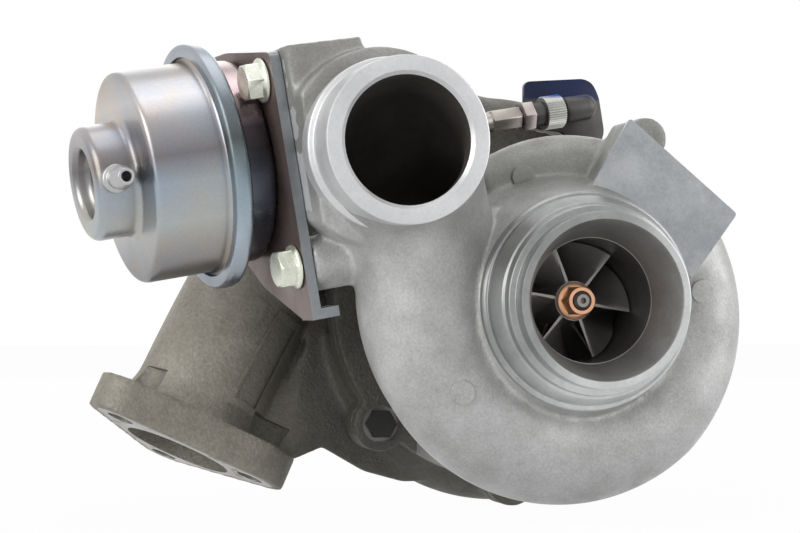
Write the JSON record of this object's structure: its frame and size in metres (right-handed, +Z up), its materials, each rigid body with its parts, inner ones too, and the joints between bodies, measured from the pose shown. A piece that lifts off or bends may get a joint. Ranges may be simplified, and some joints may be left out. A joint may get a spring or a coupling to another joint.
{
  "type": "turbocharger",
  "caption": "Variable-vane turbocharger: cast compressor cover with volute and outlet, bearing housing, turbine scroll with angled inlet flange, and a vacuum actuator on a bracket.",
  "frame": {"origin": "a point on the sealing land of the turbine inlet flange, 21 mm from the port's centre on the side away from the flange's far corner", "axes": "+Y along the shaft from the compressor inlet to the turbine outlet, +Z up as the picture shows it, +X to the right as seen from the compressor inlet"},
  "size_m": [0.2106, 0.1638, 0.1429],
  "materials": {
    "cast_aluminium": "sand-cast, matt grain",
    "machined_aluminium": "machined, bright",
    "copper_nut": "copper-plated, satin",
    "cast_iron": "rough cast, heat-browned",
    "bright_steel": "turned",
    "heat_steel": "heat-resistant, satin",
    "bearing_bronze": "turned",
    "sealing_rubber": "moulded, matt",
    "dark_steel": "oiled black",
    "bright_zinc": "zinc-plated, bluish",
    "purple_zinc": "zinc-plated, iridescent violet",
    "bracket_zinc": "zinc-plated, iridescent",
    "green_zinc": "zinc-plated, yellow-green",
    "black_steel": "black phosphate",
    "knurled_steel": "knurled, dark"
  },
  "bodies": {
    "housing": {"compressor_cover": "cast_aluminium", "backplate": "cast_aluminium", "cover_o_ring": "sealing_rubber", "cover_snap_ring": "bright_steel", "compressor_seal_ring": "bright_steel", "oil_deflector": "bright_steel", "thrust_bearing": "bearing_bronze", "journal_bearing": "bearing_bronze", "bearing_pin": "bright_steel", "turbine_seal_ring": "bright_steel", "bearing_housing": "cast_iron", "heat_shield": "heat_steel", "turbine_housing": "cast_iron", "housing_bolt_1": "dark_steel", "housing_bolt_2": "dark_steel", "housing_bolt_3": "dark_steel", "housing_bolt_4": "dark_steel", "housing_bolt_5": "dark_steel", "housing_bolt_6": "dark_steel", "nozzle_ring": "heat_steel", "crank_bush": "bright_steel", "actuator_bracket": "bracket_zinc", "rear_can": "purple_zinc", "cap_can": "bright_zinc", "crimp_ring": "bright_zinc", "vacuum_nipple": "bright_zinc", "bracket_bolt_1": "green_zinc", "bracket_bolt_2": "green_zinc", "actuator_nut_1": "bright_zinc", "actuator_nut_2": "bright_zinc"},
    "rotor": {"compressor_wheel": "machined_aluminium", "shaft_nut": "copper_nut", "turbine_rotor": "heat_steel", "thrust_collar": "bright_steel", "oil_flinger": "bright_steel"},
    "actuator": {"actuator_rod": "bright_zinc", "diaphragm_plate": "bright_zinc", "diaphragm": "sealing_rubber", "return_spring": "bright_steel", "link_plate": "black_steel", "link_clip": "bright_steel", "adjuster_sleeve": "black_steel", "knurled_ring": "knurled_steel", "lock_nut": "green_zinc"},
    "lever": {"crank_lever": "bright_steel", "crank_shaft": "heat_steel"},
    "ring": {"unison_ring": "heat_steel"},
    "vane_1": {"vane_1": "heat_steel"},
    "vane_2": {"vane_2": "heat_steel"},
    "vane_3": {"vane_3": "heat_steel"},
    "vane_4": {"vane_4": "heat_steel"},
    "vane_5": {"vane_5": "heat_steel"},
    "vane_6": {"vane_6": "heat_steel"},
    "vane_7": {"vane_7": "heat_steel"},
    "vane_8": {"vane_8": "heat_steel"},
    "vane_9": {"vane_9": "heat_steel"}
  },
  "joints": [
    {"name": "rotor_spin", "type": "hinge", "parent": "housing", "child": "rotor", "pos_m": [0.10243, -0.04715, 0.04552], "axis": [0, 1, 0], "continuous": true},
    {"name": "actuator_slide", "type": "slide", "parent": "housing", "child": "actuator", "axis": [-0.9742, -0.1456, -0.1723], "range_m": [0, 0.009], "stiffness_N_per_m": 3000, "springref_m": -0.012, "deforming": ["return_spring", "diaphragm"]},
    {"name": "lever_turn", "type": "hinge", "parent": "housing", "child": "lever", "pos_m": [0.12543, -0.0093, 0.08535], "axis": [0, 1, 0], "range_deg": [-29.04, 0]},
    {"name": "ring_turn", "type": "hinge", "parent": "housing", "child": "ring", "pos_m": [0.10243, 0.00215, 0.04552], "axis": [0, 1, 0], "range_deg": [0, 5.54]},
    {"name": "vane_1_turn", "type": "hinge", "parent": "housing", "child": "vane_1", "pos_m": [0.13093, 0.00935, 0.04552], "axis": [0, 1, 0], "range_deg": [0, 22.78]},
    {"name": "vane_2_turn", "type": "hinge", "parent": "housing", "child": "vane_2", "pos_m": [0.12427, 0.00935, 0.06384], "axis": [0, 1, 0], "range_deg": [0, 22.78]},
    {"name": "vane_3_turn", "type": "hinge", "parent": "housing", "child": "vane_3", "pos_m": [0.10738, 0.00935, 0.07358], "axis": [0, 1, 0], "range_deg": [0, 22.78]},
    {"name": "vane_4_turn", "type": "hinge", "parent": "housing", "child": "vane_4", "pos_m": [0.08818, 0.00935, 0.0702], "axis": [0, 1, 0], "range_deg": [0, 22.78]},
    {"name": "vane_5_turn", "type": "hinge", "parent": "housing", "child": "vane_5", "pos_m": [0.07565, 0.00935, 0.05527], "axis": [0, 1, 0], "range_deg": [0, 22.78]},
    {"name": "vane_6_turn", "type": "hinge", "parent": "housing", "child": "vane_6", "pos_m": [0.07565, 0.00935, 0.03577], "axis": [0, 1, 0], "range_deg": [0, 22.78]},
    {"name": "vane_7_turn", "type": "hinge", "parent": "housing", "child": "vane_7", "pos_m": [0.08818, 0.00935, 0.02083], "axis": [0, 1, 0], "range_deg": [0, 22.78]},
    {"name": "vane_8_turn", "type": "hinge", "parent": "housing", "child": "vane_8", "pos_m": [0.10738, 0.00935, 0.01745], "axis": [0, 1, 0], "range_deg": [0, 22.78]},
    {"name": "vane_9_turn", "type": "hinge", "parent": "housing", "child": "vane_9", "pos_m": [0.12427, 0.00935, 0.0272], "axis": [0, 1, 0], "range_deg": [0, 22.78]}
  ],
  "couplings": [
    {"joint": "lever_turn", "follows": "actuator_slide", "rad_per_m": -55.54},
    {"joint": "ring_turn", "follows": "actuator_slide", "rad_per_m": 9.9688},
    {"joint": "vane_1_turn", "follows": "actuator_slide", "rad_per_m": 43.393},
    {"joint": "vane_2_turn", "follows": "actuator_slide", "rad_per_m": 43.393},
    {"joint": "vane_3_turn", "follows": "actuator_slide", "rad_per_m": 43.393},
    {"joint": "vane_4_turn", "follows": "actuator_slide", "rad_per_m": 43.393},
    {"joint": "vane_5_turn", "follows": "actuator_slide", "rad_per_m": 43.393},
    {"joint": "vane_6_turn", "follows": "actuator_slide", "rad_per_m": 43.393},
    {"joint": "vane_7_turn", "follows": "actuator_slide", "rad_per_m": 43.393},
    {"joint": "vane_8_turn", "follows": "actuator_slide", "rad_per_m": 43.393},
    {"joint": "vane_9_turn", "follows": "actuator_slide", "rad_per_m": 43.393}
  ]
}
